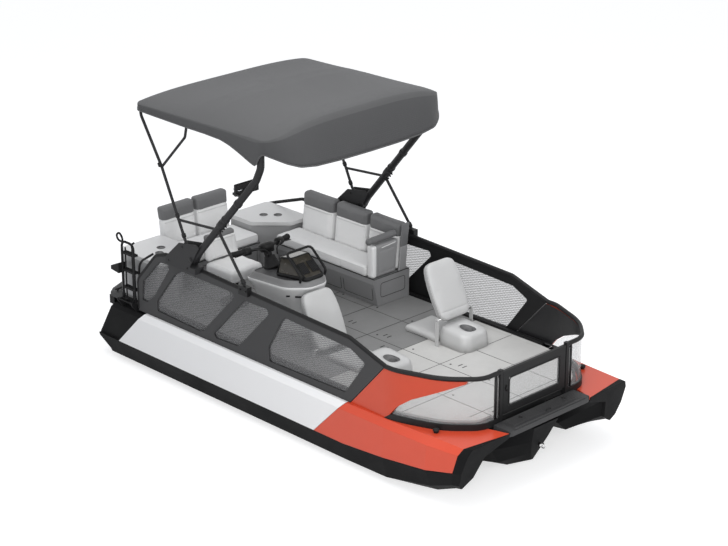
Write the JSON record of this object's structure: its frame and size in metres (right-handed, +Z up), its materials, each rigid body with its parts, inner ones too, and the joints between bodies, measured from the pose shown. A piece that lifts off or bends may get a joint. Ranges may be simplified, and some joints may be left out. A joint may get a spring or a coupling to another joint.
{
  "type": "pontoon boat",
  "caption": "Three-hull pontoon boat with a railed deck, seats, handlebar helm, fabric canopy, bow gate, boarding ladder and a steered jet at the stern.",
  "frame": {"origin": "on the floor under the keels, at the middle of the boat's box", "axes": "+X forward to the bow, +Y to port, +Z up"},
  "size_m": [5.3995, 2.43, 3.115],
  "materials": {
    "hull_black": "gloss",
    "panel_white": "gloss",
    "cap_red": "gloss",
    "frame_black": "satin",
    "fence_grey": "satin",
    "mesh_grey": "satin",
    "clear_panel": "gloss",
    "tile_dark": "matte",
    "tile_light": "matte",
    "shell_grey": "satin",
    "shell_white": "satin",
    "vinyl_light": "satin",
    "canopy_cloth": "matte",
    "bar_black": "satin",
    "engine_metal": "matte",
    "mirror_glass": "polished"
  },
  "bodies": {
    "boat": {"sponsons": "hull_black", "side_panels": "panel_white", "bow_caps": "cap_red", "center_hull": "hull_black", "engine_block": "engine_metal", "deck_frame": "frame_black", "deck_tiles_dark": "tile_dark", "deck_tiles_light": "tile_light", "deck_tracks": "frame_black", "bow_step": "shell_grey", "stern_platform": "shell_grey", "fence_starboard": "fence_grey", "fence_port": "fence_grey", "fence_windows": "mesh_grey", "bow_rails": "fence_grey", "corner_panels": "cap_red", "bow_windows": "clear_panel", "console": "shell_white", "steering_column": "bar_black", "display_pod": "shell_grey", "grab_bar": "bar_black", "helm_pedestal": "frame_black", "sofa_base": "shell_grey", "sofa_cushion": "vinyl_light", "sofa_backs": "vinyl_light", "sofa_arm": "shell_grey", "bench_base": "shell_grey", "bench_cushion": "vinyl_light", "bench_backs": "vinyl_light", "corner_tables": "shell_white", "lounger_blocks": "shell_white", "lounger_pads": "vinyl_light", "strut_feet": "bar_black", "brace_brackets": "bar_black", "stern_rails": "bar_black", "ladder_lugs": "frame_black", "jet_pump": "bar_black"},
    "gate": {"bow_gate": "fence_grey", "gate_window": "clear_panel"},
    "steering": {"handlebar": "bar_black"},
    "helm_chair": {"helm_seat": "vinyl_light"},
    "back_starboard": {"lounger_back_starboard": "vinyl_light"},
    "back_port": {"lounger_back_port": "vinyl_light"},
    "canopy": {"canopy_cover": "canopy_cloth", "canopy_frame": "bar_black", "mirror": "bar_black"},
    "ladder": {"boarding_ladder": "bar_black"},
    "nozzle": {"steering_nozzle": "bar_black"}
  },
  "joints": [
    {"name": "gate_hinge", "type": "hinge", "parent": "boat", "child": "gate", "pos_m": [2.441, 0.426, 0.9], "axis": [0, 0, 1], "range_deg": [-92, 0]},
    {"name": "steer", "type": "hinge", "parent": "boat", "child": "steering", "pos_m": [-0.79, -0.4, 1.47], "axis": [-0.4226, 0, 0.9063], "range_deg": [-26, 26]},
    {"name": "nozzle_steer", "type": "hinge", "parent": "boat", "child": "nozzle", "pos_m": [-2.58, 0, 0.21], "axis": [0, 0, 1], "range_deg": [-22, 22]},
    {"name": "helm_swivel", "type": "hinge", "parent": "boat", "child": "helm_chair", "pos_m": [-1.3, -0.4, 1], "axis": [0, 0, 1], "continuous": true},
    {"name": "recline_starboard", "type": "hinge", "parent": "boat", "child": "back_starboard", "pos_m": [0.305, -0.53, 0.787], "axis": [0, 1, 0], "range_deg": [0, 40]},
    {"name": "recline_port", "type": "hinge", "parent": "boat", "child": "back_port", "pos_m": [0.945, 0.53, 0.992], "axis": [0, 1, 0], "range_deg": [-55, 0]},
    {"name": "canopy_tilt", "type": "hinge", "parent": "boat", "child": "canopy", "pos_m": [-1, 0, 1.5], "axis": [0, 1, 0], "range_deg": [-40, 0]},
    {"name": "ladder_swing", "type": "hinge", "parent": "boat", "child": "ladder", "pos_m": [-2.11, -1.196, 0.726], "axis": [1, 0, 0], "range_deg": [0, 172]}
  ],
  "couplings": [
    {"joint": "nozzle_steer", "follows": "steer", "ratio": -0.8}
  ]
}
